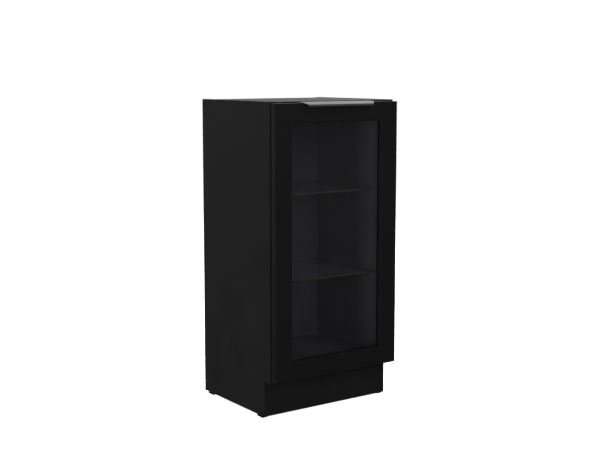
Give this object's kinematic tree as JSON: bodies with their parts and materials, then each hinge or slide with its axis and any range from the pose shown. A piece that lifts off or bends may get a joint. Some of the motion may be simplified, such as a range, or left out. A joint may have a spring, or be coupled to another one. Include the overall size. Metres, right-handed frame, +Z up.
{
  "type": "glass door base cabinet",
  "caption": "Narrow black base cabinet with a framed glass door, clear glass shelves, a recessed plinth and an edge pull handle.",
  "frame": {"origin": "on the floor, under the centre of the bounding box", "axes": "+Z up, +X towards the door's closing side (the hinges are at -X), +Y from the door to the back"},
  "size_m": [0.4, 0.3708, 0.8236],
  "materials": {
    "carcass_board": "black melamine-faced board, fine matt grain",
    "back_sheet": "black lacquered thin fibreboard, satin",
    "door_lacquer": "black lacquer, satin gloss, softly rounded edges",
    "door_glass": "clear, polished, faint grey tint",
    "shelf_glass": "clear, ground and polished green edges",
    "handle_aluminium": "fine brushed and anodised along its length",
    "black_plastic": "moulded, matt",
    "soft_bumper": "soft, translucent grey",
    "zinc_fittings": "zinc plated, satin",
    "hinge_nickel": "nickel plated, bright"
  },
  "bodies": {
    "carcass": {"back_panel": "back_sheet", "bottom_panel": "carcass_board", "foot_glide_front_left": "black_plastic", "foot_glide_front_right": "black_plastic", "foot_glide_rear_left": "black_plastic", "foot_glide_rear_right": "black_plastic", "glass_shelf_lower": "shelf_glass", "glass_shelf_upper": "shelf_glass", "plinth_block_left": "black_plastic", "plinth_block_right": "black_plastic", "plinth_board": "carcass_board", "side_panel_left": "carcass_board", "side_panel_right": "carcass_board", "top_panel": "carcass_board", "shelf_pin_lower_front_left": "zinc_fittings", "shelf_pin_lower_front_right": "zinc_fittings", "shelf_pin_lower_rear_left": "zinc_fittings", "shelf_pin_lower_rear_right": "zinc_fittings", "hinge_arm_lower": "hinge_nickel", "hinge_plate_lower": "hinge_nickel", "hinge_arm_screw_lower": "zinc_fittings", "hinge_plate_screw_lower_bottom": "zinc_fittings", "hinge_plate_screw_lower_top": "zinc_fittings", "shelf_pin_upper_front_left": "zinc_fittings", "shelf_pin_upper_front_right": "zinc_fittings", "shelf_pin_upper_rear_left": "zinc_fittings", "shelf_pin_upper_rear_right": "zinc_fittings", "hinge_arm_upper": "hinge_nickel", "hinge_plate_upper": "hinge_nickel", "hinge_arm_screw_upper": "zinc_fittings", "hinge_plate_screw_upper_bottom": "zinc_fittings", "hinge_plate_screw_upper_top": "zinc_fittings", "cam_lock_top_front_left": "zinc_fittings", "cam_lock_top_front_right": "zinc_fittings", "cam_lock_top_rear_left": "zinc_fittings", "cam_lock_top_rear_right": "zinc_fittings", "cam_lock_bottom_front_left": "zinc_fittings", "cam_lock_bottom_front_right": "zinc_fittings", "cam_lock_bottom_rear_left": "zinc_fittings", "cam_lock_bottom_rear_right": "zinc_fittings"},
    "door": {"door_bumper_lower": "soft_bumper", "door_bumper_upper": "soft_bumper", "door_frame": "door_lacquer", "door_glass": "door_glass", "glazing_bead_bottom": "black_plastic", "glazing_bead_left": "black_plastic", "glazing_bead_right": "black_plastic", "glazing_bead_top": "black_plastic", "handle_pull": "handle_aluminium", "handle_screw_left": "zinc_fittings", "handle_screw_right": "zinc_fittings", "hinge_cup_lower": "hinge_nickel", "hinge_pin_lower": "zinc_fittings", "hinge_cup_screw_lower_bottom": "zinc_fittings", "hinge_cup_screw_lower_top": "zinc_fittings", "hinge_cup_upper": "hinge_nickel", "hinge_pin_upper": "zinc_fittings", "hinge_cup_screw_upper_bottom": "zinc_fittings", "hinge_cup_screw_upper_top": "zinc_fittings"}
  },
  "joints": [
    {"name": "door_swing", "type": "hinge", "parent": "carcass", "child": "door", "pos_m": [-0.19, -0.16065, 0.4614], "axis": [0, 0, -1], "range_deg": [0, 105]}
  ]
}
